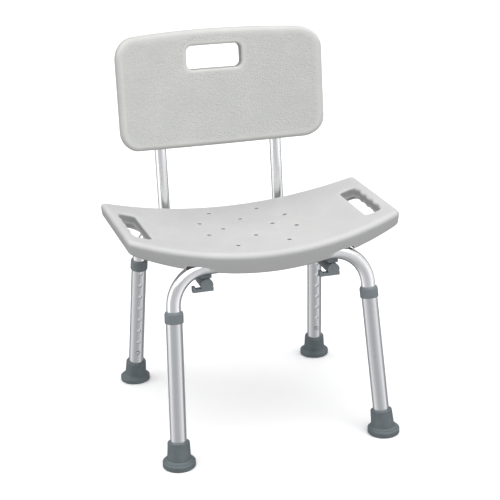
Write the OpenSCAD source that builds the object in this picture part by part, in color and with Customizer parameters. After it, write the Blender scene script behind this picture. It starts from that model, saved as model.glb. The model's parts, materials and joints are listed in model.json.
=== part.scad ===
// Shower chair: moulded seat and back on two bent-tube leg frames with telescoping legs.
// The origin is on the floor at the centre of the overall box, +Y points to the back, +Z up.

/* [Seat] */
// Width of the seat across its rear corners
seat_rear_w = 500; // [490:1:510]
// Width of the seat across its front corners
seat_front_w = 492; // [480:1:498]
// Depth of the seat from front to rear
seat_depth = 304; // [300:1:312]
// Height of the seat's top in the middle
seat_mid_z = 355; // [353:1:358]
// Height of the skirt's lower edge in the middle
skirt_mid_z = 319.5; // [318:0.5:321]
// Radius of the dip along the seat's width
seat_dip_r = 740; // [700:10:800]
// Radius of the skirt's lower edge
skirt_r = 575; // [540:5:600]
// Radius of the seat's bowed front edge, seen from above
seat_front_r = 1200; // [1000:10:1400]
// Radius of the seat's bowed rear edge, seen from above
seat_rear_r = 940; // [880:10:1200]
// Diameter of each drain hole
drain_d = 8; // [6:0.5:10]

/* [Hand holds] */
// Length of each hand hold
hold_len = 146; // [130:1:155]
// Width of each hand hold
hold_w = 29; // [26:1:32]
// Distance of a hand hold's centre from the middle
hold_x = 212; // [210:1:214]

/* [Backrest] */
// Width of the back panel
back_w = 396; // [380:1:410]
// Height of the back panel at its middle
back_h = 223; // [215:1:230]
// Thickness of the back panel
back_t = 25; // [22:0.5:28]
// Radius of the panel's front face around a vertical axis
back_face_r = 350; // [340:10:400]
// Height of the middle of the back panel
back_mid_z = 575; // [560:1:600]
// Lean of the backrest
back_lean = 5; // [3:0.5:7]
// Outside diameter of the backrest tubes
back_tube_d = 22.2; // [21.5:0.1:22.4]
// Distance of a backrest tube from the middle
back_tube_x = 115; // [112:0.5:117]

/* [Legs] */
// Distance of each foot from the middle, across the chair
foot_x = 190; // [185:1:195]
// Distance of each foot from the middle, front to back
foot_y = 189; // [186:1:192]
// Height of the cross bars' centre line
bar_z = 336; // [335:0.5:337]
// Distance of each cross bar from the middle
bar_y = 132.5; // [131:0.5:134]
// Outside diameter of the upper leg tubes
inner_d = 25.4; // [25:0.1:25.4]
// Outside diameter of the lower leg tubes
outer_d = 28.6; // [28.6:0.1:29]
// Bend radius of the leg frames
bend_r = 64; // [60:1:66]
// Spacing of the height holes
pitch = 25.4; // [25:0.1:25.4]
// Number of height holes in each lower tube
hole_count = 8; // [7:1:8]
// Diameter across a rubber foot
foot_d = 57.4; // [54:0.2:60]

/* [Hidden] */
$fn = 96;
LEFT = -1;
RIGHT = 1;
FRONT = -1;
REAR = 1;
SIDES = [LEFT, RIGHT];
ENDS = [FRONT, REAR];
WALL = 1.2;
CLEAR = 0.3;
// A bend's wall is this much thinner on each side, and its ends run into the straight tubes
// by this many degrees, so that they join.
THIN = 0.05;
RUN_IN = 0.5;
plastic = [0.84, 0.84, 0.83];
back_plastic = [0.80, 0.80, 0.78];
alloy = [0.80, 0.81, 0.83];
satin_alloy = [0.72, 0.73, 0.76];
grey = [0.44, 0.47, 0.48];
rubber = [0.42, 0.45, 0.46];
steel = [0.66, 0.67, 0.68];

// Legs lean inward from the floor to the bars, and a little toward the middle as well.
leg_lean = atan((foot_y - bar_y) / bar_z);
leg_splay = 2.67;
bar_s = bar_z / cos(leg_lean);
bend_turn = 90 - leg_splay;
leg_inner_end = 44;
button_s = 69;
tube_start = 12;
tube_end = 262;
collar_start = 252;
collar_end = 272;
collar_d = 32.8;
button_d = 7.6;
button_tip = outer_d / 2 + 3;

// The upper leg meets the bar's bend at this point of the arch's own plane.
bend_x = foot_x - bar_s * tan(leg_splay) - bend_r * (1 - sin(leg_splay)) / cos(leg_splay);
bend_s = bar_s - bend_r;
// Distance up the leg's axis to where the bend begins.
leg_join_s = (bend_s + bend_r * sin(leg_splay)) / cos(leg_splay);

// Backrest tubes run forward under the seat, and their front ends hold a turning latch.
run_z = 304.5;
run_front = -75;
run_bend_r = 50;
upright_y0 = 189.1 - 400 * tan(back_lean);
bend_end_z = run_z + run_bend_r * (1 - sin(back_lean));
run_bend_y = upright_y0 + bend_end_z * tan(back_lean) - run_bend_r * cos(back_lean);
back_mid_y = upright_y0 + back_mid_z * tan(back_lean);
upright_top = 92;
back_screw_v = [-70, 30];
latch_front = -137;
groove_y = -112;

// The front face of the back panel passes this far in front of the tubes at the middle.
face_n = -3;
back_rear_n = face_n + back_t;
panel_skin = 3.2;
handle_w = 108;
handle_h = 45;
handle_v = 59;

seat_rim = 7;
seat_skin = 3.2;
seat_corner_r = 14;
// Centres of the front and rear corners, and of the bows between them.
seat_front_x = seat_front_w / 2 - seat_corner_r;
front_bow_y = seat_front_r - seat_depth / 2;
front_turn = acos(seat_front_x / (seat_front_r - seat_corner_r));
seat_front_y = front_bow_y - (seat_front_r - seat_corner_r) * sin(front_turn);
seat_rear_x = seat_rear_w / 2 - seat_corner_r;
rear_bow_y = seat_depth / 2 - seat_rear_r;
rear_turn = acos(seat_rear_x / (seat_rear_r - seat_corner_r));
seat_rear_y = rear_bow_y + (seat_rear_r - seat_corner_r) * sin(rear_turn);
side_turn = atan((seat_rear_x - seat_front_x) / (seat_rear_y - seat_front_y));
seat_edge_r = 9.5;
channel_r = inner_d / 2 + 0.2;
channel_half = 152;
drains = [[0, 51], [0, -51], [47, 0], [-47, 0], [47, 100], [-47, 100], [47, -100],
    [-47, -100], [82, 35], [-82, 35], [82, -35], [-82, -35]];
drain_mid_y = 3;
hold_mid_y = -13;
hold_ledge = 8;
hold_depth = 18;
seat_screw_x = [-70, 0, 70];
rear_saddle_screw_x = 91;

// The overall box runs from the front feet to the back panel's top, so its centre is the origin.
box_front = -foot_y - foot_d / 2;
box_rear = back_mid_y + back_rear_n * cos(back_lean) + back_h / 2 * sin(back_lean);
origin_y = (box_front + box_rear) / 2;

// ---- places ----

module in_frame() translate([0, -origin_y, 0]) children();

// Drawn for the right front leg's quarter, then mirrored to the named one.
module at_corner(side, end)
    in_frame()
        mirror([side == LEFT ? 1 : 0, 0, 0])
            mirror([0, end == REAR ? 1 : 0, 0])
                children();

// +Z runs up the leg from the floor, and +Y faces the inside of the chair.
module on_leg(side, end)
    at_corner(side, end)
        translate([foot_x, -foot_y, 0])
            rotate([-leg_lean, 0, 0])
                rotate([0, -leg_splay, 0])
                    children();

// The arch of a leg frame lies in the XZ plane of this place.
module on_arch(end)
    in_frame()
        mirror([0, end == REAR ? 1 : 0, 0])
            translate([0, -foot_y, 0])
                rotate([-leg_lean, 0, 0])
                    children();

// +Z runs up the backrest from its middle, and +Y points backward through it.
module on_back()
    in_frame()
        translate([0, back_mid_y, back_mid_z])
            rotate([-back_lean, 0, 0])
                children();

// ---- shared shapes ----

module rod(d, from, to)
    translate([0, 0, from])
        cylinder(d = d, h = to - from);

module rod_x(d, from, to)
    rotate([0, 90, 0])
        rod(d, from, to);

module rod_y(d, from, to)
    rotate([-90, 0, 0])
        rod(d, from, to);

// A rectangle about the origin with round corners.
module round_rect(w, h, r) {
    square([w - 2 * r, h], center = true);
    square([w, h - 2 * r], center = true);
    for (i = SIDES, j = ENDS)
        translate([i * (w / 2 - r), j * (h / 2 - r)])
            circle(r = r);
}

// ---- seat ----

// Points along an arc.
function arc(centre, r, from, to, steps = 10) = [
    for (i = [0:steps])
        let (turn = from + (to - from) * i / steps)
        centre + r * [cos(turn), sin(turn)]];

// The seat's outline from above, with round corners and bowed front and rear edges.
module seat_plan()
    polygon(concat(
        arc([0, front_bow_y], seat_front_r, 180 + front_turn, 360 - front_turn, 24),
        arc([seat_front_x, seat_front_y], seat_corner_r, -front_turn, -side_turn),
        arc([seat_rear_x, seat_rear_y], seat_corner_r, -side_turn, rear_turn),
        arc([0, rear_bow_y], seat_rear_r, rear_turn, 180 - rear_turn, 24),
        arc([-seat_rear_x, seat_rear_y], seat_corner_r, 180 - rear_turn, 180 + side_turn),
        arc([-seat_front_x, seat_front_y], seat_corner_r, 180 + side_turn, 180 + front_turn)));

// The section from front to rear, with round top edges, at a distance from the dip's axis.
module seat_section() {
    half = seat_depth / 2 - seat_edge_r;
    translate([seat_dip_r + seat_edge_r, -seat_depth / 2])
        square([60, seat_depth]);
    translate([seat_dip_r, -half])
        square([seat_edge_r + 1, 2 * half]);
    for (end = ENDS)
        translate([seat_dip_r + seat_edge_r, end * half])
            circle(r = seat_edge_r);
}

// What lies under the dish of a seat top, which children give as a section.
module dished()
    translate([0, 0, seat_mid_z + seat_dip_r])
        rotate([90, 0, 0])
            rotate([0, 0, 246])
                rotate_extrude(angle = 48, $fn = 360)
                    children();

// What lies above the skirt's lower edge, raised by a margin.
module over_skirt(margin)
    translate([0, 0, skirt_mid_z + margin + skirt_r])
        rod_y(2 * skirt_r, -seat_depth, seat_depth, $fn = 360);

// The seat's body between its dished top and its skirt's edge.
module seat_body()
    intersection() {
        dished()
            seat_section();
        over_skirt(0);
        translate([0, 0, 300])
            linear_extrude(120)
                seat_plan();
    }

// Distance of the seat's side from the middle.
function side_x(y) =
    seat_front_x + seat_corner_r / cos(side_turn) + (y - seat_front_y) * tan(side_turn);

// The hollow of the moulding.
module seat_hollow() {
    front = side_x(-seat_depth) - seat_rim;
    rear = side_x(seat_depth) - seat_rim;
    intersection() {
        dished()
            translate([seat_dip_r + seat_skin, -seat_depth])
                square([60, 2 * seat_depth]);
        over_skirt(seat_skin);
        translate([0, 0, 300])
            linear_extrude(120)
                polygon([
                    [-front, -seat_depth], [front, -seat_depth], [rear, seat_depth],
                    [-rear, seat_depth]]);
        translate([0, front_bow_y, 300])
            cylinder(r = seat_front_r - seat_rim, h = 120, $fn = 720);
        translate([0, rear_bow_y, 300])
            cylinder(r = seat_rear_r - seat_rim, h = 120, $fn = 720);
    }
}

// A hand hold's outline, with four finger grips along its outer side.
module hold_plan(margin) {
    round_rect(hold_w + 2 * margin, hold_len + 2 * margin, 9 + margin);
    for (i = [-1.5:1:1.5])
        translate([hold_w / 2 - 10, i * hold_len / 5])
            circle(r = 12.5 + margin);
}

module hold(side, margin)
    translate([0, hold_mid_y, 300])
        mirror([side == LEFT ? 1 : 0, 0, 0])
            translate([hold_x, 0, 0])
                rotate([0, 0, -side_turn])
                    linear_extrude(120)
                        hold_plan(margin);

// The step under the seat that makes the rim round a hand hold thinner.
module hold_recess(side)
    intersection() {
        hold(side, hold_ledge);
        dished()
            translate([seat_dip_r + hold_depth, -seat_depth])
                square([60, 2 * seat_depth]);
    }

// The groove under the seat that a leg frame's bar lies in.
module bar_channel(end, margin) {
    translate([0, end * bar_y, bar_z])
        rod_x(2 * (channel_r + margin), -channel_half - margin, channel_half + margin);
    translate([-channel_half - margin, end * bar_y - channel_r - margin, bar_z - 60])
        cube([2 * (channel_half + margin), 2 * (channel_r + margin), 60]);
}

module seat_boss(x, y)
    translate([x, y, 0])
        rod(14, skirt_mid_z - 5, seat_mid_z + 20);

module seat_panel() {
    color(plastic)
    in_frame()
    difference() {
        seat_body();
        // The hollow of the moulding, crossed by the walls of its holes and channels.
        difference() {
            seat_hollow();
            for (side = SIDES)
                hold(side, hold_ledge + seat_skin);
            for (end = ENDS)
                bar_channel(end, seat_skin);
            for (p = drains)
                seat_boss(p[0], p[1] + drain_mid_y);
            for (side = SIDES)
                seat_boss(side * back_tube_x, groove_y);
            for (x = [-150:50:150])
                translate([x - 1.5, -90, skirt_mid_z])
                    cube([3, 180, 60]);
        }
        for (side = SIDES) {
            hold(side, 0);
            hold_recess(side);
        }
        for (end = ENDS)
            bar_channel(end, 0);
        for (p = drains)
            translate([p[0], p[1] + drain_mid_y, 0])
                rod(drain_d, 300, 400);
        // Screw holes under the bars and beside them, and the moulding's vent.
        for (x = seat_screw_x, end = ENDS)
            translate([x, end * bar_y, 0])
                rod(4, bar_z, bar_z + 15.5);
        for (side = SIDES) {
            translate([side * back_tube_x, groove_y, 0])
                rod(4, 300, 350);
            translate([side * rear_saddle_screw_x, bar_y, 0])
                rod(4, bar_z, bar_z + 16.5);
        }
        translate([25, 115, 0])
            rod(5, 300, 330);
    }
}

// ---- backrest ----

// The panel's outline seen from the front, with crowned top and bottom edges.
module back_outline(margin) {
    crown_top = 4;
    crown_bottom = 7;
    corner = 40 - margin;
    w = back_w - 2 * margin;
    top = back_h / 2 - margin;
    flat = w / 2 - corner;
    translate([0, (crown_bottom - crown_top) / 2])
        round_rect(w, 2 * top - crown_top - crown_bottom, corner);
    for (crown = [[crown_top, 1], [crown_bottom, -1]]) {
        r = (flat * flat + crown[0] * crown[0]) / 2 / crown[0];
        intersection() {
            translate([0, crown[1] * (top - r)]) circle(r = r, $fn = 720);
            translate([0, crown[1] * (top - crown[0])])
                square([2 * flat, 2 * crown[0]], center = true);
        }
    }
}

// The panel curves around the sitter, and its face leaves the tubes at face_n.
module back_body(margin) {
    intersection() {
        translate([0, face_n - back_face_r, -back_h])
            difference() {
                cylinder(r = back_face_r + back_t - margin, h = 2 * back_h, $fn = 360);
                cylinder(r = back_face_r + margin, h = 2 * back_h, $fn = 360);
            }
        rotate([-90, 0, 0])
            translate([0, 0, -100])
                linear_extrude(150)
                    mirror([0, 1])
                        back_outline(margin);
    }
}

module back_handle(margin)
    translate([0, -60, handle_v])
        rotate([-90, 0, 0])
            linear_extrude(120)
                round_rect(handle_w + 2 * margin, handle_h + 2 * margin, 14 + margin);

module back_channel(side, margin) {
    r = back_tube_d / 2 + 0.2 + margin;
    translate([side * back_tube_x, 0, 0]) {
        rod(2 * r, -back_h, upright_top + 1 + margin);
        translate([-r, 0, -back_h])
            cube([2 * r, 60, back_h + upright_top + 1 + margin]);
    }
}

module back_panel() {
    color(back_plastic)
    on_back()
    difference() {
        back_body(0);
        difference() {
            back_body(panel_skin);
            back_handle(panel_skin);
            for (side = SIDES)
                back_channel(side, panel_skin);
            for (x = [-45, 0, 45])
                translate([x - 1.5, -30, -90])
                    cube([3, 80, 110]);
        }
        back_handle(0);
        for (side = SIDES)
            back_channel(side, 0);
        for (side = SIDES, v = back_screw_v)
            translate([side * back_tube_x, 0, v])
                rod_y(3.4, -back_tube_d / 2 - 9, 0);
        translate([0, 10, -back_h / 2 - 5])
            cylinder(d = 5, h = 15);
    }
}

module tube_ring(d, thin)
    difference() {
        circle(d = d - 2 * thin);
        circle(d = d - 2 * WALL + 2 * thin);
    }

// A straight hollow tube that runs along +Y from the X axis, at a radius from the origin.
module pipe(d, r, length)
    translate([r, 0, 0])
        rotate([-90, 0, 0])
            linear_extrude(length)
                tube_ring(d, 0);

// A hollow tube bent about the Z axis, with straight ends before and after its bend.
module bent_pipe(d, r, turn, before, after) {
    rotate([0, 0, -RUN_IN])
        rotate_extrude(angle = turn + 2 * RUN_IN)
            translate([r, 0])
                tube_ring(d, THIN);
    mirror([0, 1, 0])
        pipe(d, r, before);
    if (after > 0)
        rotate([0, 0, turn])
            pipe(d, r, after);
}

module back_tube(side) {
    color(alloy)
    in_frame()
    translate([side * back_tube_x, 0, 0])
    difference() {
        translate([0, run_bend_y, run_z + run_bend_r])
            rotate([0, 90, 0])
                bent_pipe(back_tube_d, run_bend_r, 90 - back_lean, run_bend_y - run_front,
                    upright_top + (back_mid_z - bend_end_z) / cos(back_lean));
        translate([0, back_mid_y, back_mid_z])
            rotate([-back_lean, 0, 0])
                for (v = back_screw_v)
                    translate([0, 0, v])
                        rod_y(4.2, -20, 20);
    }
}

module back_tube_cap(side)
    color(grey)
    on_back()
    translate([side * back_tube_x, 0, 0]) {
        rod(back_tube_d - 2 * WALL, upright_top - 14, upright_top);
        rod(back_tube_d - 0.4, upright_top, upright_top + 0.8);
    }

module back_screws()
    color(steel)
    on_back()
    for (side = SIDES, v = back_screw_v)
        translate([side * back_tube_x, 0, v]) {
            rod_y(3.4, -back_tube_d / 2 - 8, back_tube_d / 2);
            difference() {
                rod_y(9, back_tube_d / 2 - 0.9, back_tube_d / 2 + 2);
                rod(back_tube_d, -6, 6);
                translate([0, 0, -0.6])
                    rotate([-90, 0, 0])
                        translate([-3, -1.2, back_tube_d / 2 + 1])
                            cube([6, 1.2, 5]);
            }
        }

// ---- leg frames ----

// One bent tube: a bar across the top, two bends and the two upper legs.
module arch_tube()
    for (side = SIDES)
        mirror([side == LEFT ? 1 : 0, 0, 0])
            translate([bend_x, 0, bend_s])
                rotate([90, 0, 0])
                    rotate([0, 0, leg_splay])
                        bent_pipe(inner_d, bend_r, bend_turn, leg_join_s - leg_inner_end,
                            side == LEFT ? 0 : 2 * bend_x);

// Solid room for a leg frame's bar and the start of its bends.
module arch_room(end)
    on_arch(end) {
        translate([0, 0, bar_s])
            rod_x(inner_d, -bend_x, bend_x);
        for (side = SIDES)
            mirror([side == LEFT ? 1 : 0, 0, 0])
                translate([bend_x, 0, bend_s])
                    rotate([90, 0, 0])
                        rotate([0, 0, 45])
                            rotate_extrude(angle = 45.5)
                                translate([bend_r, 0])
                                    circle(d = inner_d - 0.02);
    }

module leg_frame(end) {
    color(alloy)
    on_arch(end)
    difference() {
        arch_tube();
        for (side = SIDES)
            mirror([side == LEFT ? 1 : 0, 0, 0])
                translate([foot_x, 0, 0])
                    rotate([0, -leg_splay, 0])
                        translate([0, 0, button_s])
                            rod_y(button_d + 2 * CLEAR, 0, inner_d);
        translate([0, 0, bar_s])
            rotate([leg_lean, 0, 0])
                for (x = bar_hole_x(end))
                    translate([x, 0, 0])
                        rod(5, -inner_d, inner_d);
    }
}

function bar_hole_x(end) = end == REAR
    ? concat(seat_screw_x, [-rear_saddle_screw_x, rear_saddle_screw_x])
    : seat_screw_x;

module leg_tube(side, end)
    color(satin_alloy)
    on_leg(side, end)
    difference() {
        rod(outer_d, tube_start, tube_end);
        rod(outer_d - 2 * WALL, tube_start - 1, tube_end + 1);
        for (i = [0:hole_count - 1])
            translate([0, 0, button_s + i * pitch])
                rod_y(button_d + 2 * CLEAR + 0.8, 0, outer_d);
    }

// A bushing over the lower tube's mouth, with a lip that guides the upper tube.
module leg_collar(side, end)
    color(grey)
    on_leg(side, end)
    rotate_extrude()
        polygon([
            [outer_d / 2, collar_start], [collar_d / 2 - 0.6, collar_start],
            [collar_d / 2, collar_start + 0.8], [collar_d / 2, collar_end - 4],
            [collar_d / 2 - 1, collar_end - 1.2], [collar_d / 2 - 2.4, collar_end],
            [inner_d / 2 + CLEAR, collar_end], [inner_d / 2 + CLEAR, tube_end],
            [outer_d / 2, tube_end]]);

// ---- feet ----

module foot_tip(side, end)
    color(rubber)
    at_corner(side, end)
    difference() {
        translate([foot_x, -foot_y, 0])
            union() {
                // Flat base on the floor, stepped toward the cup.
                rotate_extrude()
                    polygon([
                        [0, 0], [foot_d / 2 - 1.5, 0], [foot_d / 2, 1.5], [foot_d / 2, 9],
                        [foot_d / 2 - 1.4, 10.6], [foot_d / 2 - 4.2, 11.2], [foot_d / 2 - 5.4, 13.4],
                        [21.5, 14.6], [0, 14.6]]);
                // Cup along the leg.
                rotate([-leg_lean, 0, 0])
                    rotate([0, -leg_splay, 0])
                        rotate_extrude()
                            polygon([
                                [0, 8], [21.2, 8], [20.6, 18], [19.4, 40], [19.4, 42],
                                [18.4, 43.4], [0, 43.4]]);
            }
        translate([foot_x, -foot_y, 0])
            rotate([-leg_lean, 0, 0])
                rotate([0, -leg_splay, 0])
                    rod(outer_d, tube_start - 2, 60);
        // Ring groove and middle recess in the sole.
        translate([foot_x, -foot_y, -1])
            rotate_extrude() {
                square([9, 2.2]);
                translate([15, 0]) square([3, 2.2]);
            }
    }

module foot_washer(side, end)
    color(steel)
    on_leg(side, end)
    difference() {
        rod(outer_d - 0.4, tube_start - 2, tube_start);
        rod(9, tube_start - 3, tube_start + 1);
    }

// ---- snap buttons ----

module snap_button(side, end)
    color(steel)
    on_leg(side, end)
    translate([0, 0, button_s])
        rotate([-90, 0, 0])
            rotate_extrude()
                polygon([
                    [0, 9.4], [4.8, 9.4], [4.8, 10.1], [button_d / 2, 10.1],
                    [button_d / 2, button_tip - 1.6], [button_d / 2 - 0.6, button_tip - 0.6],
                    [button_d / 2 - 1.8, button_tip], [0, button_tip]]);

// A bent leaf: one leg behind the button, the other against the far wall of the tube.
module snap_spring(side, end) {
    leaf_w = 8;
    leaf_t = 0.7;
    turn_r = 9.5;
    turn_y = -0.4;
    turn_s = button_s + 34;
    color(steel)
    on_leg(side, end)
    translate([-leaf_w / 2, turn_y, 0]) {
        for (y = [turn_r - leaf_t, -turn_r])
            translate([0, y, button_s - 5])
                cube([leaf_w, leaf_t, turn_s - button_s + 5]);
        translate([0, 0, turn_s])
            intersection() {
                difference() {
                    rod_x(2 * turn_r, 0, leaf_w);
                    rod_x(2 * (turn_r - leaf_t), -1, leaf_w + 1);
                }
                translate([-1, -turn_r - 1, 0])
                    cube([leaf_w + 2, 2 * turn_r + 2, turn_r + 1]);
            }
    }
}

// ---- saddles and latches under the seat ----

function skirt_z(x) = skirt_mid_z + skirt_r - sqrt(skirt_r * skirt_r - x * x);

// A pad between the front bar and the latch, with an ear behind the bar up to the seat.
module front_saddle(side) {
    w = 18;
    foot_z = run_z + back_tube_d / 2 + 0.5;
    color(grey)
    difference() {
        in_frame()
            translate([side * back_tube_x, 0, 0]) {
                translate([-w / 2, -bar_y - 1, foot_z])
                    cube([w, bar_y + groove_y + 10, 9]);
                translate([-w / 2, groove_y - 5.5, foot_z])
                    cube([w, 14.5, skirt_z(back_tube_x - w / 2) - foot_z - 0.2]);
            }
        arch_room(FRONT);
        in_frame()
            translate([side * back_tube_x, groove_y, 0])
                rod(4.4, foot_z - 1, bar_z);
    }
}

// A block on the rear bar that the backrest tube passes through, with a screw flange.
module rear_saddle(side) {
    w = 28;
    front = -12.4;
    depth = 16.4;
    low = run_z - back_tube_d / 2 - 4.5;
    color(grey)
    difference() {
        in_frame()
            mirror([side == LEFT ? 1 : 0, 0, 0])
                translate([0, bar_y + front, 0]) {
                    translate([back_tube_x - w / 2, 0, low + 6])
                        cube([w, depth, bar_z - low - 10]);
                    translate([back_tube_x, 0, run_z])
                        rod_y(w, 0, depth);
                    translate([rear_saddle_screw_x - 9, 0, bar_z - inner_d / 2 - 5])
                        cube([20, depth, 9]);
                }
        arch_room(REAR);
        in_frame()
            mirror([side == LEFT ? 1 : 0, 0, 0]) {
                translate([back_tube_x, 0, run_z])
                    rod_y(back_tube_d, 0, 200);
                translate([rear_saddle_screw_x, bar_y, 0])
                    rod(4.4, low, bar_z);
            }
    }
}

// A round plug in the tube's mouth that turns, with a hooked finger tab and a groove for its stop.
module back_latch(side) {
    bore = back_tube_d - 2 * WALL;
    tab = [37, 10, 6];
    color(grey)
    in_frame()
    translate([side * back_tube_x, 0, run_z])
    difference() {
        union() {
            rod_y(back_tube_d - 0.2, latch_front, run_front - 0.1);
            rod_y(bore - 0.1, run_front - 1, run_front + 30);
            translate([-tab[0] + back_tube_d / 2, latch_front, -back_tube_d / 2 + 0.1]) {
                cube(tab);
                cube([5, tab[1], tab[2] + 4]);
            }
        }
        // The stop screw's head stays in this quarter groove while the plug turns.
        rotate([-90, 0, 0])
            translate([0, 0, groove_y - 4])
                rotate_extrude(angle = 146, start = 242)
                    translate([6, 0])
                        square([8, 8]);
    }
}

module saddle_screws()
    color(steel)
    in_frame() {
        for (side = SIDES) {
            head_top = run_z + back_tube_d / 2 + 0.5;
            translate([side * back_tube_x, groove_y, 0]) {
                rod(4, head_top, 349);
                rod(6.4, head_top - 4.6, head_top);
            }
            translate([side * rear_saddle_screw_x, bar_y, 0])
                screw(bar_z - inner_d / 2 - 5, bar_z + 15);
        }
    }

// A pan-head screw from below, with a slot in its head.
module screw(from, to)
    difference() {
        union() {
            rod(4, from, to);
            rod(8.6, from - 2.6, from);
        }
        translate([-3, -0.6, from - 3])
            cube([6, 1.2, 1.6]);
    }

module seat_screws()
    color(steel)
    in_frame()
    for (x = seat_screw_x, end = ENDS)
        translate([x, end * bar_y, 0])
            screw(bar_z - inner_d / 2, bar_z + 15);

seat_panel();
back_panel();
leg_frame(FRONT);  // front_leg_frame
leg_frame(REAR);  // rear_leg_frame
leg_tube(LEFT, FRONT);  // leg_tube_front_left
leg_tube(RIGHT, FRONT);  // leg_tube_front_right
leg_tube(LEFT, REAR);  // leg_tube_rear_left
leg_tube(RIGHT, REAR);  // leg_tube_rear_right
leg_collar(LEFT, FRONT);  // leg_collar_front_left
leg_collar(RIGHT, FRONT);  // leg_collar_front_right
leg_collar(LEFT, REAR);  // leg_collar_rear_left
leg_collar(RIGHT, REAR);  // leg_collar_rear_right
foot_tip(LEFT, FRONT);  // foot_tip_front_left
foot_tip(RIGHT, FRONT);  // foot_tip_front_right
foot_tip(LEFT, REAR);  // foot_tip_rear_left
foot_tip(RIGHT, REAR);  // foot_tip_rear_right
foot_washer(LEFT, FRONT);  // foot_washer_front_left
foot_washer(RIGHT, FRONT);  // foot_washer_front_right
foot_washer(LEFT, REAR);  // foot_washer_rear_left
foot_washer(RIGHT, REAR);  // foot_washer_rear_right
snap_button(LEFT, FRONT);  // snap_button_front_left
snap_button(RIGHT, FRONT);  // snap_button_front_right
snap_button(LEFT, REAR);  // snap_button_rear_left
snap_button(RIGHT, REAR);  // snap_button_rear_right
snap_spring(LEFT, FRONT);  // snap_spring_front_left
snap_spring(RIGHT, FRONT);  // snap_spring_front_right
snap_spring(LEFT, REAR);  // snap_spring_rear_left
snap_spring(RIGHT, REAR);  // snap_spring_rear_right
back_tube(LEFT);  // back_tube_left
back_tube(RIGHT);  // back_tube_right
back_tube_cap(LEFT);  // back_tube_cap_left
back_tube_cap(RIGHT);  // back_tube_cap_right
front_saddle(LEFT);  // front_saddle_left
front_saddle(RIGHT);  // front_saddle_right
rear_saddle(LEFT);  // rear_saddle_left
rear_saddle(RIGHT);  // rear_saddle_right
back_latch(LEFT);  // back_latch_left
back_latch(RIGHT);  // back_latch_right
seat_screws();
saddle_screws();
back_screws();
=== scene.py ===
"""Shower chair: the moulded seat and back panel, and the finishes of every part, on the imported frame."""
import json
import math

import bmesh
import bpy
import numpy as np
from mathutils import Matrix, Vector
from mathutils.geometry import delaunay_2d_cdt


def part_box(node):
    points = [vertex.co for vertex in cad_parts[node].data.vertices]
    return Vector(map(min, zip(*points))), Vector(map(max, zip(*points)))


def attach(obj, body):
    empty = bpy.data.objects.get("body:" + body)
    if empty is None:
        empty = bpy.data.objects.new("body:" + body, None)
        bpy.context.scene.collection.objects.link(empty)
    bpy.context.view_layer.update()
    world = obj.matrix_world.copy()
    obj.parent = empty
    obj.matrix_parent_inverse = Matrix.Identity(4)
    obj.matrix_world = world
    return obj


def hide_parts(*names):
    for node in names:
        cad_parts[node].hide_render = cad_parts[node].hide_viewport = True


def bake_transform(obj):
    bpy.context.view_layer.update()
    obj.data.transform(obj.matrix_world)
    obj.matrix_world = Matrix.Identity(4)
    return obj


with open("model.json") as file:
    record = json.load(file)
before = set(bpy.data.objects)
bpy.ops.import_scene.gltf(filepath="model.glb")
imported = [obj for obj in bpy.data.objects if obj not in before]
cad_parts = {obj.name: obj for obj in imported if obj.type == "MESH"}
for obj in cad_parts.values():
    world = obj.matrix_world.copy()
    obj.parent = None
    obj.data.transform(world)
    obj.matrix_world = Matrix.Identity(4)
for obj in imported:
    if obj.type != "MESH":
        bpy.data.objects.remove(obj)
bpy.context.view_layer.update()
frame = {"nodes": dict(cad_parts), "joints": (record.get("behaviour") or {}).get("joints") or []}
scene = bpy.context.scene

# ---- places: all design sizes are in millimetres in the chair's own frame ----

foot_lo, foot_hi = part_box("foot_tip_front_left")
FOOT_Y = 189.0
BAR_Y, BAR_Z = 132.5, 336.0
SHIFT_Y = (foot_lo[1] + foot_hi[1]) / 2 + FOOT_Y / 1000


def at(x, y, z):
    """A point of the chair, given in millimetres, in the scene."""
    return Vector((x / 1000, y / 1000 + SHIFT_Y, z / 1000))


LEG_LEAN = math.atan((FOOT_Y - BAR_Y) / BAR_Z)
LEG_SPLAY = math.radians(2.67)
# The backrest's axis leans back and passes through y = 189.1 at a height of 400.
BACK_LEAN = math.radians(5)
BACK_MID_Z = 575.0
BACK_MID_Y = 189.1 + (BACK_MID_Z - 400) * math.tan(BACK_LEAN)


def on_back(x, v, n):
    """A point of the back panel: across, up along it, and backward through it."""
    y = n * math.cos(BACK_LEAN) + v * math.sin(BACK_LEAN)
    z = v * math.cos(BACK_LEAN) - n * math.sin(BACK_LEAN)
    return at(x, BACK_MID_Y + y, BACK_MID_Z + z)


# ---- outlines: closed rings of 2-D points, anticlockwise ----


def arc(cx, cy, r, start, stop, steps):
    turns = [math.radians(start + (stop - start) * i / steps) for i in range(steps + 1)]
    return [(cx + r * math.cos(t), cy + r * math.sin(t)) for t in turns]


def spaced(ring, step):
    """The same ring with its long edges divided."""
    made = []
    for a, b in zip(ring, ring[1:] + ring[:1]):
        count = max(1, round(math.dist(a, b) / step))
        step_x, step_y = (b[0] - a[0]) / count, (b[1] - a[1]) / count
        made += [(a[0] + step_x * i, a[1] + step_y * i) for i in range(count)]
    return made


def offset(ring, d):
    """The ring moved outward by d, with mitred corners."""
    p = np.array(ring)
    ahead = np.roll(p, -1, axis=0) - p
    ahead /= np.linalg.norm(ahead, axis=1)[:, None]
    behind = np.roll(ahead, 1, axis=0)
    n1 = np.stack([ahead[:, 1], -ahead[:, 0]], axis=1)
    n2 = np.stack([behind[:, 1], -behind[:, 0]], axis=1)
    mitre = n1 + n2
    mitre /= np.linalg.norm(mitre, axis=1)[:, None]
    grow = d / np.maximum(0.35, (mitre * n1).sum(axis=1))
    return p + mitre * grow[:, None]


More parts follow.
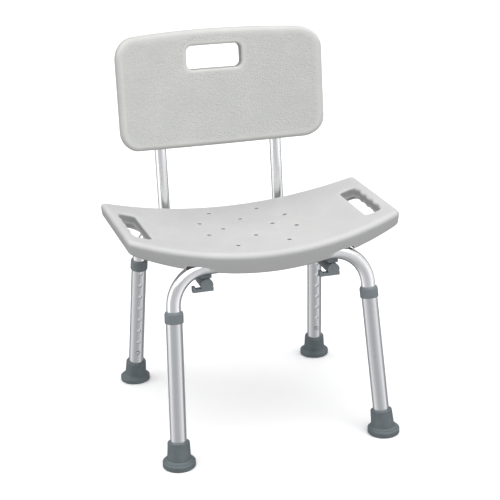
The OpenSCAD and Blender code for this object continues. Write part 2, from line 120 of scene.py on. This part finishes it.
def inside(points, ring):
    """Which points lie inside a ring."""
    x, y = points[:, 0], points[:, 1]
    hit = np.zeros(len(points), bool)
    a = np.array(ring)
    b = np.roll(a, -1, axis=0)
    for (ax, ay), (bx, by) in zip(a, b):
        if ay != by:
            cross = ((ay > y) != (by > y)) & (x < (bx - ax) * (y - ay) / (by - ay) + ax)
            hit ^= cross
    return hit


def clear_of(points, ring, gap):
    """Which points lie farther than gap from a ring's points."""
    a = np.array(ring)
    keep = np.ones(len(points), bool)
    for i in range(0, len(points), 400):
        d = np.linalg.norm(points[i : i + 400, None, :] - a[None, :, :], axis=2).min(axis=1)
        keep[i : i + 400] = d > gap
    return keep


class Plate:
    """A thick moulded sheet between two height functions, with round rims round its outline and holes."""

    def __init__(self, place, top, bottom, grid):
        self.place, self.top, self.bottom, self.grid = place, top, bottom, grid
        self.points, self.grain, self.rim, self.faces = [], [], [], []
        self.sheets = {1: [], -1: []}

    def point(self, u, v, w, grain=0.0, rim=0.0):
        self.points.append(self.place(u, v, w))
        self.grain.append(grain)
        self.rim.append(rim)
        return len(self.points) - 1

    def edge(self, ring, out, r_top, r_bottom, draft=0.0, steps=7, wall=3, fade=2.0):
        """The wall along a ring, with painted shade darkening it down its rounded top edge. out is 1 round
        the outline and -1 round a hole, whose wall gets stronger painted shade.
        """
        # Painted shade: 0.55 on walls round the outline and full round a hole, fading in down the top
        # rounding by fade.
        shade = 0.55 if out == 1 else 1.0
        levels = []
        for i in range(steps + 1):
            t = math.pi / 2 * i / steps
            levels.append((r_top * (1 - math.sin(t)), "top", r_top * (1 - math.cos(t))))
        for i in range(1, wall):
            levels.append((draft * i / wall, "wall", i / wall))
        for i in range(steps + 1):
            t = math.pi / 2 * i / steps
            levels.append((draft + r_bottom * (1 - math.cos(t)), "bottom", r_bottom * (1 - math.sin(t))))
        rows = []
        for inset, kind, drop in levels:
            line = offset(ring, -out * inset)
            level_painted_shade = shade * (drop / r_top) ** fade if kind == "top" else shade
            row = []
            for u, v in line:
                high, low = self.top(u, v), self.bottom(u, v)
                if kind == "top":
                    w = high - drop
                elif kind == "bottom":
                    w = low + drop
                else:
                    w = (high - r_top) * (1 - drop) + (low + r_bottom) * drop
                row.append(self.point(u, v, w, 0.0, level_painted_shade))
            rows.append((line, row))
        for (_, a), (_, b) in zip(rows, rows[1:]):
            for i in range(len(a)):
                j = (i + 1) % len(a)
                quad = (a[i], b[i], b[j], a[j])
                self.faces.append(quad if out == 1 else quad[::-1])
        self.sheets[1].append((rows[0][0], rows[0][1], out))
        self.sheets[-1].append((rows[-1][0], rows[-1][1], out))

    def fill(self, side, grain):
        """The sheet inside the outline and outside the holes, on the top or the bottom."""
        height = self.top if side == 1 else self.bottom
        flat, known, edges = [], [], []
        for line, row, _ in self.sheets[side]:
            start = len(flat)
            flat += [Vector(p) for p in line]
            known += row
            edges += [(start + i, start + (i + 1) % len(line)) for i in range(len(line))]
        lo = np.array(flat).min(axis=0)
        hi = np.array(flat).max(axis=0)
        g = self.grid
        nu, nv = int((hi[0] - lo[0]) / g), int((hi[1] - lo[1]) / g)
        du, dv = (hi - lo) / (nu, nv)
        rows = [[(i + 0.5 + 0.25 * (j % 2), j + 0.5) for i in range(nu)] for j in range(nv)]
        mesh = lo + np.array(rows).reshape(-1, 2) * (du, dv)
        keep = self.within(mesh, side)
        for line, _, _ in self.sheets[side]:
            keep &= clear_of(mesh, spaced([tuple(p) for p in line], g / 2), g * 0.45)
        for u, v in mesh[keep]:
            flat.append(Vector((u, v)))
            known.append(self.point(u, v, height(u, v), grain))
        verts, _, tris, origin, _, _ = delaunay_2d_cdt(flat, edges, [], 0, 1e-7)
        centres = np.array([sum((verts[i] for i in t), Vector((0, 0))) / 3 for t in tris])
        good = self.within(centres, side)
        names = []
        for v, old in zip(verts, origin):
            names.append(known[old[0]] if old else self.point(v[0], v[1], height(v[0], v[1]), grain))
        for t, ok in zip(tris, good):
            if ok:
                face = [names[i] for i in t]
                if len(set(face)) == 3:
                    a, b, c = (verts[i] for i in t)
                    turn = (b[0] - a[0]) * (c[1] - a[1]) - (b[1] - a[1]) * (c[0] - a[0])
                    self.faces.append(tuple(face) if turn * side > 0 else tuple(face[::-1]))

    def within(self, points, side):
        keep = np.ones(len(points), bool)
        for line, _, out in self.sheets[side]:
            hit = inside(points, line)
            keep &= hit if out == 1 else ~hit
        return keep

    def build(self, name, grain_top=1.0, grain_bottom=1.0):
        self.fill(1, grain_top)
        self.fill(-1, grain_bottom)
        mesh = bpy.data.meshes.new(name)
        mesh.from_pydata([tuple(p) for p in self.points], [], self.faces)
        for key, values in (("grain", self.grain), ("rim", self.rim)):
            mesh.attributes.new(key, "FLOAT", "POINT").data.foreach_set("value", values)
        obj = bpy.data.objects.new(name, mesh)
        scene.collection.objects.link(obj)
        tidy(obj)
        return obj


def tidy(obj, angle=42):
    """Closes the mesh, turns its faces outward and shades it smooth between sharp edges."""
    bm = bmesh.new()
    bm.from_mesh(obj.data)
    bmesh.ops.remove_doubles(bm, verts=bm.verts, dist=1e-6)
    bmesh.ops.recalc_face_normals(bm, faces=bm.faces)
    bm.to_mesh(obj.data)
    bm.free()
    for poly in obj.data.polygons:
        poly.use_smooth = True
    obj.data.set_sharp_from_angle(angle=math.radians(angle))


def prism(name, profile, low, high, place):
    """A closed prism over a profile, as a tool for cutting."""
    n = len(profile)
    points = [tuple(place(u, v, w)) for w in (low, high) for u, v in profile]
    faces = [tuple(range(n))[::-1], tuple(range(n, 2 * n))]
    faces += [(i, (i + 1) % n, n + (i + 1) % n, n + i) for i in range(n)]
    mesh = bpy.data.meshes.new(name)
    mesh.from_pydata(points, [], faces)
    obj = bpy.data.objects.new(name, mesh)
    scene.collection.objects.link(obj)
    bm = bmesh.new()
    bm.from_mesh(mesh)
    bmesh.ops.recalc_face_normals(bm, faces=bm.faces)
    bm.to_mesh(mesh)
    bm.free()
    return obj


def carve(obj, tools):
    """Cuts the tools out of the object and removes them."""
    for tool in tools:
        cut = obj.modifiers.new("carve", "BOOLEAN")
        cut.operation, cut.solver, cut.object = "DIFFERENCE", "EXACT", tool
    carved = bpy.data.meshes.new_from_object(obj.evaluated_get(bpy.context.evaluated_depsgraph_get()))
    obj.modifiers.clear()
    old, obj.data = obj.data, carved
    bpy.data.meshes.remove(old)
    for tool in tools:
        bpy.data.objects.remove(tool)
    tidy(obj, 35)


# ---- seat ----

SEAT = dict(front=492.0, rear=500.0, depth=304.0, corner=14.0, front_bow=1200.0, rear_bow=940.0)
SEAT.update(mid_z=355.0, dip=740.0, skirt_z=319.5, skirt=600.0, edge=9.5)


def corner_of(width, bow):
    """Centre of a corner whose edge bows with a radius, and the angle at which the two meet."""
    x, r = width / 2 - SEAT["corner"], bow - SEAT["corner"]
    turn = math.acos(x / r)
    return x, SEAT["depth"] / 2 - bow + r * math.sin(turn), math.degrees(turn)


FRONT_X, FRONT_Y, FRONT_TURN = corner_of(SEAT["front"], SEAT["front_bow"])
REAR_X, REAR_Y, REAR_TURN = corner_of(SEAT["rear"], SEAT["rear_bow"])
SIDE_TURN = math.degrees(math.atan((REAR_X - FRONT_X) / (REAR_Y + FRONT_Y)))


def seat_top(x, _):
    return SEAT["mid_z"] + SEAT["dip"] - math.sqrt(SEAT["dip"] ** 2 - x * x)


def seat_low(x, _):
    return SEAT["skirt_z"] + SEAT["skirt"] - math.sqrt(SEAT["skirt"] ** 2 - x * x)


def seat_ring():
    c, half = SEAT["corner"], SEAT["depth"] / 2
    front, rear = SEAT["front_bow"], SEAT["rear_bow"]
    ring = arc(0, front - half, front, 180 + FRONT_TURN, 360 - FRONT_TURN, 60)[1:-1]
    ring += arc(FRONT_X, -FRONT_Y, c, -FRONT_TURN, -SIDE_TURN, 10)
    ring += arc(REAR_X, REAR_Y, c, -SIDE_TURN, REAR_TURN, 10)
    ring += arc(0, half - rear, rear, REAR_TURN, 180 - REAR_TURN, 60)[1:-1]
    ring += arc(-REAR_X, REAR_Y, c, 180 - REAR_TURN, 180 + SIDE_TURN, 10)
    ring += arc(-FRONT_X, -FRONT_Y, c, 180 + SIDE_TURN, 180 + FRONT_TURN, 10)
    return spaced(ring, 7)


HOLD_X, HOLD_Y, HOLD_L, HOLD_W, HOLD_CORNER = 212.0, -13.0, 146.0, 29.0, 9.0
GRIPS, GRIP_DEPTH = 4, 2.6
# A step under the seat makes the rim round each hand hold thinner. It is cut up from UNDER_SEAT_Z.
HOLD_LEDGE, HOLD_DEPTH, UNDER_SEAT_Z = 8.0, 18.0, 300.0


def hold_ring(side):
    """A hand hold with finger grips along its outer side."""
    w, h, r = HOLD_W / 2, HOLD_L / 2, HOLD_CORNER
    steps = 12 * GRIPS
    ring = arc(w - r, -h + r, r, -90, 0, 6)
    for i in range(1, steps):
        v = (-h + r) + (HOLD_L - 2 * r) * i / steps
        fade = min(1.0, (h - r - abs(v)) / 9.0)
        wave = 0.5 - 0.5 * math.cos(2 * math.pi * GRIPS * i / steps)
        ring.append((w + fade * GRIP_DEPTH * wave, v))
    ring += arc(w - r, h - r, r, 0, 90, 6)
    ring += arc(-w + r, h - r, r, 90, 180, 6)
    ring += arc(-w + r, -h + r, r, 180, 270, 6)
    t = math.radians(-SIDE_TURN)
    turned = [
        (HOLD_X + u * math.cos(t) - v * math.sin(t), HOLD_Y + u * math.sin(t) + v * math.cos(t))
        for u, v in spaced(ring, 5)
    ]
    return turned if side > 0 else [(-u, v) for u, v in turned][::-1]


DRAIN_PAIRS = ((47, 0), (47, 100), (47, -100), (82, 35), (82, -35))
DRAINS = [(0, 51), (0, -51)] + [(side * x, y) for side in (-1, 1) for x, y in DRAIN_PAIRS]
DRAIN_MID_Y, DRAIN_R = 3.0, 4.0
# Channels under the seat for the two cross bars.
CHANNEL_R, CHANNEL_HALF, CHANNEL_DEPTH = 12.9, 152.0, 60.0


def under_hold(u, v, w):
    """From below the seat at w = 0 to the step under a hand hold at w = 1."""
    return at(u, v, seat_top(u, v) - HOLD_DEPTH if w else UNDER_SEAT_Z)


def make_seat():
    seat = Plate(at, seat_top, seat_low, 8.0)
    seat.edge(seat_ring(), 1, SEAT["edge"], 2.5, draft=1.6, steps=9, wall=3)
    for side in (-1, 1):
        seat.edge(hold_ring(side), -1, 4.2, 1.5, steps=6, wall=3)
    for x, y in DRAINS:
        seat.edge(arc(x, y + DRAIN_MID_Y, DRAIN_R, 0, 345, 23), -1, 1.3, 0.8, steps=4, wall=2)
    obj = seat.build("seat_moulding", 1.0, 0.4)
    tools = []
    for y in (-BAR_Y, BAR_Y):
        profile = arc(y, BAR_Z, CHANNEL_R, 0, 180, 28)
        profile += [(y - CHANNEL_R, BAR_Z - CHANNEL_DEPTH), (y + CHANNEL_R, BAR_Z - CHANNEL_DEPTH)]
        tools.append(prism("bar_tool", profile, -CHANNEL_HALF, CHANNEL_HALF, lambda u, v, w: at(w, u, v)))
    for side in (-1, 1):
        ledge = [tuple(p) for p in offset(hold_ring(side), HOLD_LEDGE)]
        tools.append(prism("ledge_tool", ledge, 0, 1, under_hold))
    carve(obj, tools)
    return obj


# ---- back panel ----

BACK_W, BACK_H, BACK_T, BACK_R, FACE_N = 396.0, 223.0, 25.0, 350.0, -3.0
BACK_CORNER, CROWN_TOP, CROWN_BOTTOM = 40.0, 4.0, 7.0
HANDLE_W, HANDLE_H, HANDLE_V, HANDLE_CORNER = 108.0, 45.0, 59.0, 11.5
# Channels in the rear of the panel for the two backrest tubes, from below it to above their tops.
TUBE_X, TUBE_CHANNEL_R, TUBE_LOW, TUBE_TOP = 115.0, 11.3, -140.0, 93.0


def back_face(x, _):
    return -(FACE_N - BACK_R + math.sqrt(BACK_R**2 - x * x))


def back_rear(x, _):
    return -(FACE_N - BACK_R + math.sqrt((BACK_R + BACK_T) ** 2 - x * x))


def back_ring():
    """The outline with large corners, and slightly crowned top and bottom edges."""
    corner = BACK_CORNER
    flat = BACK_W / 2 - corner
    top, bottom = BACK_H / 2 - CROWN_TOP, -BACK_H / 2 + CROWN_BOTTOM
    crown = [(flat - flat * i / 22, 1 - (1 - i / 22) ** 2) for i in range(1, 44)]
    ring = arc(flat, bottom + corner, corner, -90, 0, 14)
    ring += arc(flat, top - corner, corner, 0, 90, 14)
    ring += [(x, top + CROWN_TOP * rise) for x, rise in crown]
    ring += arc(-flat, top - corner, corner, 90, 180, 14)
    ring += arc(-flat, bottom + corner, corner, 180, 270, 14)
    ring += [(-x, bottom - CROWN_BOTTOM * rise) for x, rise in crown]
    return spaced(ring, 7)


def slot_ring():
    r = HANDLE_CORNER
    w, h = HANDLE_W / 2 - r, HANDLE_H / 2 - r
    ring = []
    for sx, sy, start in ((1, -1, -90), (1, 1, 0), (-1, 1, 90), (-1, -1, 180)):
        ring += arc(sx * w, HANDLE_V + sy * h, r, start, start + 90, 9)
    return spaced(ring, 5)


def make_back():
    back = Plate(lambda u, v, w: on_back(u, v, -w), back_face, back_rear, 7.0)
    back.edge(back_ring(), 1, 9.5, 7.0, steps=9, wall=2, fade=0.6)
    back.edge(slot_ring(), -1, 5.0, 4.0, steps=8, wall=3)
    obj = back.build("back_moulding", 1.0, 0.5)
    tools = []
    for x in (-TUBE_X, TUBE_X):
        profile = arc(x, 0, TUBE_CHANNEL_R, 180, 360, 28)
        profile += [(x + TUBE_CHANNEL_R, 60.0), (x - TUBE_CHANNEL_R, 60.0)]
        tools.append(prism("tube_tool", profile, TUBE_LOW, TUBE_TOP, lambda u, v, w: on_back(u, w, v)))
    carve(obj, tools)
    return obj


seat = make_seat()
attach(seat, "chair")
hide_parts("seat_panel")
back = make_back()
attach(back, "chair")
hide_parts("back_panel")

# ---- springs behind the snap buttons ----

# Metres: from the leg's axis to the middle of its button, and between a spring's divisions.
BUTTON_MID, DIVISION = 0.01335, 0.003


def up_leg(side, end):
    """Turns the vertical to the lean and splay of one leg."""
    return Matrix.Rotation(end * LEG_LEAN, 3, "X") @ Matrix.Rotation(-side * LEG_SPLAY, 3, "Y")


def make_spring(corner, side, end):
    """A copy of the leaf, cut into divisions across its leg."""
    node = frame["nodes"]["snap_spring_" + corner]
    spring = bpy.data.objects.new("leaf_spring_" + corner, node.data.copy())
    scene.collection.objects.link(spring)
    joint = next(j for j in frame["joints"] if j["name"] == "button_press_" + corner)
    out = -Vector(joint["axis"])
    up = up_leg(side, end) @ Vector((0, 0, 1))
    lo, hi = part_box("snap_button_" + corner)
    centre = (Vector(lo) + Vector(hi)) / 2 - out * BUTTON_MID
    bm = bmesh.new()
    bm.from_mesh(spring.data)
    for i in range(-1, 12):
        parts = bm.verts[:] + bm.edges[:] + bm.faces[:]
        bmesh.ops.bisect_plane(bm, geom=parts, plane_co=centre + up * i * DIVISION, plane_no=up)
    bm.to_mesh(spring.data)
    bm.free()
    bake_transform(spring)
    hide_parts("snap_spring_" + corner)
    return spring


springs = [
    make_spring("%s_%s" % (end, side), -1 if side == "left" else 1, -1 if end == "front" else 1)
    for end in ("front", "rear")
    for side in ("left", "right")
]

# ---- materials ----


class Finish:
    """A procedural material around one Principled shader."""

    def __init__(self, name, colour, roughness, metallic=0.0, **sockets):
        self.material = bpy.data.materials.new(name)
        self.material.use_nodes = True
        self.tree = self.material.node_tree
        self.shader = self.tree.nodes["Principled BSDF"]
        self.shader.inputs["Base Color"].default_value = (*colour, 1)
        self.shader.inputs["Roughness"].default_value = roughness
        self.shader.inputs["Metallic"].default_value = metallic
        for key, value in sockets.items():
            self.shader.inputs[key.replace("_", " ")].default_value = value
        self.coords = self.tree.nodes.new("ShaderNodeTexCoord").outputs["Object"]
        self.normal = None

    def node(self, kind, **settings):
        made = self.tree.nodes.new(kind)
        for key, value in settings.items():
            setattr(made, key, value)
        return made

    def link(self, a, b):
        self.tree.links.new(a, b)

    def stretched(self, rotation, scale):
        """Coordinates turned to a leaning axis first and then scaled along it."""
        mapping = self.node("ShaderNodeMapping", vector_type="TEXTURE")
        mapping.inputs["Rotation"].default_value = rotation
        mapping.inputs["Scale"].default_value = [1 / s for s in scale]
        self.link(self.coords, mapping.inputs["Vector"])
        return mapping.outputs["Vector"]

    def noise(self, scale, detail=2.0, rough=0.5, vector=None):
        made = self.node("ShaderNodeTexNoise")
        made.inputs["Scale"].default_value = scale
        made.inputs["Detail"].default_value = detail
        made.inputs["Roughness"].default_value = rough
        self.link(vector or self.coords, made.inputs["Vector"])
        return made.outputs["Fac"]

    def cells(self, scale, smooth=0.6, vector=None):
        made = self.node("ShaderNodeTexVoronoi", feature="SMOOTH_F1")
        made.inputs["Scale"].default_value = scale
        made.inputs["Smoothness"].default_value = smooth
        self.link(vector or self.coords, made.inputs["Vector"])
        return made.outputs["Distance"]

    def span(self, value, low, high, start=0.3, stop=0.7):
        made = self.node("ShaderNodeMapRange")
        made.inputs["From Min"].default_value = start
        made.inputs["From Max"].default_value = stop
        made.inputs["To Min"].default_value = low
        made.inputs["To Max"].default_value = high
        self.link(value, made.inputs["Value"])
        return made.outputs["Result"]

    def times(self, a, b):
        made = self.node("ShaderNodeMath", operation="MULTIPLY")
        self.link(a, made.inputs[0])
        if isinstance(b, float):
            made.inputs[1].default_value = b
        else:
            self.link(b, made.inputs[1])
        return made.outputs[0]

    def attribute(self, name):
        return self.node("ShaderNodeAttribute", attribute_name=name).outputs["Fac"]

    def bump(self, height, distance, strength=1.0):
        made = self.node("ShaderNodeBump")
        made.inputs["Distance"].default_value = distance
        if isinstance(strength, float):
            made.inputs["Strength"].default_value = strength
        else:
            self.link(strength, made.inputs["Strength"])
        self.link(height, made.inputs["Height"])
        if self.normal:
            self.link(self.normal, made.inputs["Normal"])
        self.normal = made.outputs["Normal"]
        self.link(self.normal, self.shader.inputs["Normal"])

    def tint(self, value, dark, light):
        """Colours the shader between two colours; the second can come from another node."""
        made = self.node("ShaderNodeMix", data_type="RGBA")
        made.inputs[6].default_value = (*dark, 1)
        if isinstance(light, tuple):
            made.inputs[7].default_value = (*light, 1)
        else:
            self.link(light, made.inputs[7])
        self.link(value, made.inputs[0])
        self.link(made.outputs[2], self.shader.inputs["Base Color"])
        return made.outputs[2]

    def rough(self, value, low, high, start=0.3, stop=0.7):
        self.link(self.span(value, low, high, start, stop), self.shader.inputs["Roughness"])


def moulded(name, dark, light, cell, depth, roughness, grain_shade):
    """Light moulded plastic with a leather-like grain on its faces, painted shade on the grain where its
    cells meet, and smooth rims whose walls carry painted shade.
    """
    made = Finish(name, light, roughness, Specular_IOR_Level=0.45)
    grain = made.attribute("grain")
    face = made.tint(made.span(made.noise(14, 4, 0.6), 0.0, 1.0), dark, light)
    pebble = made.cells(cell, 0.5)
    # Painted shade: the grain darkens towards 0.6 of the dark colour where its cells meet.
    painted_grain_shade = made.times(grain, made.span(pebble, 0.0, grain_shade, 0.15, 0.6))
    face = made.tint(made.span(painted_grain_shade, 1.0, 0.0, 0.0, 1.0), tuple(c * 0.6 for c in dark), face)
    # Painted shade: the walls darken towards 0.62 of the dark colour as their shade value rises.
    made.tint(made.span(made.attribute("rim"), 1.0, 0.0, 0.0, 1.0), tuple(c * 0.62 for c in dark), face)
    made.rough(made.noise(60, 3, 0.6), roughness - 0.05, roughness + 0.06)
    made.bump(pebble, depth, made.times(grain, 0.75))
    made.bump(made.noise(1500, 2, 0.6), 0.00009, made.span(grain, 0.15, 0.6, 0.0, 1.0))
    made.bump(made.noise(26, 2, 0.4), 0.0006, 0.25)
    return made.material


def drawn(name, colour, roughness, rotation):
    """Anodised aluminium tube with fine lines along its length."""
    made = Finish(name, colour, roughness, 1.0)
    fine = made.noise(1.0, 3, 0.6, made.stretched(rotation, (1500, 1500, 14)))
    soft = made.noise(1.0, 2, 0.5, made.stretched(rotation, (160, 160, 5)))
    made.tint(made.span(soft, 0.0, 1.0), tuple(c * 0.96 for c in colour), colour)
    made.rough(fine, roughness - 0.04, roughness + 0.05)
    made.bump(fine, 0.00002, 0.4)
    return made.material


def matt(name, dark, light, roughness, grain=900.0, depth=0.00008):
    """Grey moulded plastic or rubber with a fine grain and slight mottling."""
    made = Finish(name, light, roughness, Specular_IOR_Level=0.4)
    made.tint(made.span(made.noise(45, 4, 0.6), 0.0, 1.0), dark, light)
    made.rough(made.noise(120, 3, 0.6), roughness - 0.06, roughness + 0.06)
    made.bump(made.noise(grain, 2, 0.6), depth, 0.6)
    made.bump(made.noise(70, 2, 0.4), 0.0003, 0.3)
    return made.material


def plated(name, colour, roughness):
    """Plated steel with slight mottling."""
    made = Finish(name, colour, roughness, 1.0)
    made.tint(made.span(made.noise(220, 3, 0.6), 0.0, 1.0), tuple(c * 0.82 for c in colour), colour)
    made.rough(made.noise(500, 3, 0.6), roughness - 0.06, roughness + 0.08)
    made.bump(made.noise(900, 2, 0.6), 0.00003, 0.5)
    return made.material


SEAT_COLOURS = ((0.475, 0.479, 0.471), (0.515, 0.519, 0.51))
BACK_COLOURS = ((0.585, 0.592, 0.567), (0.632, 0.638, 0.61))
SEAT_FINISH = moulded("seat_finish", *SEAT_COLOURS, cell=520.0, depth=0.00034, roughness=0.46, grain_shade=0.12)
BACK_FINISH = moulded("back_finish", *BACK_COLOURS, cell=360.0, depth=0.0013, roughness=0.5, grain_shade=0.22)
GREY_FINISH = matt("grey_finish", (0.155, 0.179, 0.188), (0.19, 0.214, 0.223), 0.42)
RUBBER_FINISH = matt("rubber_finish", (0.096, 0.118, 0.126), (0.122, 0.146, 0.155), 0.5, 650.0, 0.00014)
STEEL_FINISH = plated("steel_finish", (0.62, 0.62, 0.62), 0.32)
SPRING_FINISH = plated("spring_finish", (0.42, 0.43, 0.46), 0.28)
FRONT_FINISH = drawn("front_frame_finish", (0.93, 0.935, 0.94), 0.2, (-LEG_LEAN, 0, 0))
REAR_FINISH = drawn("rear_frame_finish", (0.93, 0.935, 0.94), 0.2, (LEG_LEAN, 0, 0))
UPRIGHT_FINISH = drawn("upright_finish", (0.95, 0.955, 0.96), 0.22, (-BACK_LEAN, 0, 0))


def leg_finish(side, end):
    """Satin tube whose lines follow the lean and splay of one leg."""
    return drawn("satin_finish_%s_%s" % (end, side), (0.73, 0.74, 0.75), 0.28, up_leg(side, end).to_euler())


def finish_of(name):
    """The finish of a CAD node that keeps its own mesh."""
    if name.startswith("leg_tube"):
        return leg_finish(-1 if "left" in name else 1, -1 if "front" in name else 1)
    if name.startswith("back_tube_cap"):
        return GREY_FINISH
    if name.startswith("back_tube"):
        return UPRIGHT_FINISH
    if name.endswith("leg_frame"):
        return FRONT_FINISH if name.startswith("front") else REAR_FINISH
    if name.startswith("foot_tip"):
        return RUBBER_FINISH
    if name.startswith("snap_spring"):
        return SPRING_FINISH
    if "screws" in name or "washer" in name or name.startswith("snap_button"):
        return STEEL_FINISH
    return GREY_FINISH


for name, node in frame["nodes"].items():
    for slot in node.material_slots:
        slot.material = finish_of(name)
seat.data.materials.clear()
seat.data.materials.append(SEAT_FINISH)
back.data.materials.clear()
back.data.materials.append(BACK_FINISH)
for spring in springs:
    spring.data.materials.clear()
    spring.data.materials.append(SPRING_FINISH)

# ---- floor, light and camera ----


def make_floor():
    bm = bmesh.new()
    bmesh.ops.create_circle(bm, cap_ends=True, radius=14.0, segments=96)
    mesh = bpy.data.meshes.new("floor")
    bm.to_mesh(mesh)
    bm.free()
    floor = bpy.data.objects.new("floor", mesh)
    scene.collection.objects.link(floor)
    made = Finish("floor_finish", (0.97, 0.97, 0.97), 0.7, Specular_IOR_Level=0.2)
    made.rough(made.noise(3, 2, 0.5), 0.65, 0.75)
    mesh.materials.append(made.material)
    floor.visible_diffuse = False
    floor.visible_glossy = False


def softbox(name, place, aim, width, height, power):
    lamp = bpy.data.lights.new(name, "AREA")
    lamp.shape, lamp.size, lamp.size_y = "RECTANGLE", width, height
    lamp.energy = power
    obj = bpy.data.objects.new(name, lamp)
    obj.location = place
    obj.rotation_mode = "QUATERNION"
    obj.rotation_quaternion = (Vector(aim) - Vector(place)).to_track_quat("-Z", "Y")
    scene.collection.objects.link(obj)


# Level direction from the chair to the front of the room.
ROOM_FRONT = (-0.42, -0.91, 0.0)


def gradient(tree, value, stops):
    """Grey levels between stops that run from -1 to 1."""
    span = tree.nodes.new("ShaderNodeMapRange")
    span.inputs["From Min"].default_value = -1.0
    tree.links.new(value, span.inputs["Value"])
    ramp = tree.nodes.new("ShaderNodeValToRGB")
    ramp.color_ramp.interpolation = "EASE"
    tree.links.new(span.outputs["Result"], ramp.inputs["Fac"])
    band = ramp.color_ramp.elements
    while len(band) < len(stops):
        band.new(0.5)
    for element, (place, level) in zip(band, stops):
        element.position = (place + 1) / 2
        element.color = (level, level, level * 1.01, 1)
    return ramp.outputs["Color"]


def make_light():
    world = bpy.data.worlds.new("studio")
    scene.world = world
    world.use_nodes = True
    tree = world.node_tree
    background = tree.nodes["Background"]
    coords = tree.nodes.new("ShaderNodeTexCoord")
    # Brightest at the sides of the room, darker behind the chair and below it.
    facing = tree.nodes.new("ShaderNodeVectorMath")
    facing.operation = "DOT_PRODUCT"
    facing.inputs[1].default_value = ROOM_FRONT
    tree.links.new(coords.outputs["Generated"], facing.inputs[0])
    room = ((-1, 0.5), (-0.4, 0.3), (0.1, 1.25), (0.5, 0.85), (1, 0.55))
    across = gradient(tree, facing.outputs["Value"], room)
    parts = tree.nodes.new("ShaderNodeSeparateXYZ")
    tree.links.new(coords.outputs["Generated"], parts.inputs[0])
    heights = ((-1, 0.35), (-0.45, 0.9), (0, 1), (0.5, 0.85), (1, 0.75))
    upward = gradient(tree, parts.outputs["Z"], heights)
    both = tree.nodes.new("ShaderNodeMix")
    both.data_type, both.blend_type = "RGBA", "MULTIPLY"
    both.inputs[0].default_value = 1.0
    tree.links.new(across, both.inputs[6])
    tree.links.new(upward, both.inputs[7])
    tree.links.new(both.outputs[2], background.inputs["Color"])
    sun = bpy.data.lights.new("overhead", "SUN")
    sun.energy, sun.angle = 2.6, 1.7
    obj = bpy.data.objects.new("overhead", sun)
    obj.rotation_euler = (math.radians(8), math.radians(-4), 0)
    scene.collection.objects.link(obj)
    softbox("front_fill", (1.1, -1.5, 1.7), (0.05, 0.2, 0.65), 1.0, 0.7, 5)
    softbox("left_side", (-2.6, -0.3, 0.9), (0, 0, 0.4), 0.7, 2.4, 5)
    softbox("right_side", (2.6, -0.1, 0.9), (0, 0, 0.4), 0.7, 2.4, 5)


def make_camera():
    """Looks over the seat from the chair's left front, turned right, tipped down and rolled by radians."""
    yaw, pitch, roll = 0.2839, 0.3211, -0.0257
    ahead = Vector((math.sin(yaw) * math.cos(pitch), math.cos(yaw) * math.cos(pitch), -math.sin(pitch)))
    level = Vector((math.cos(yaw), -math.sin(yaw), 0))
    rise = level.cross(ahead)
    right = math.cos(roll) * level + math.sin(roll) * rise
    up = math.cos(roll) * rise - math.sin(roll) * level
    turn = Matrix((right, up, -ahead)).transposed().to_4x4()
    data = bpy.data.cameras.new("camera")
    data.lens, data.sensor_width = 89.27, 36.0
    data.shift_x, data.shift_y = -0.007, -0.0211
    data.clip_end = 60
    obj = bpy.data.objects.new("camera", data)
    obj.matrix_world = Matrix.Translation((-0.59408, -2.07657, 1.04629)) @ turn
    scene.collection.objects.link(obj)
    scene.camera = obj


make_floor()
make_light()
make_camera()
scene.view_settings.view_transform = "Standard"
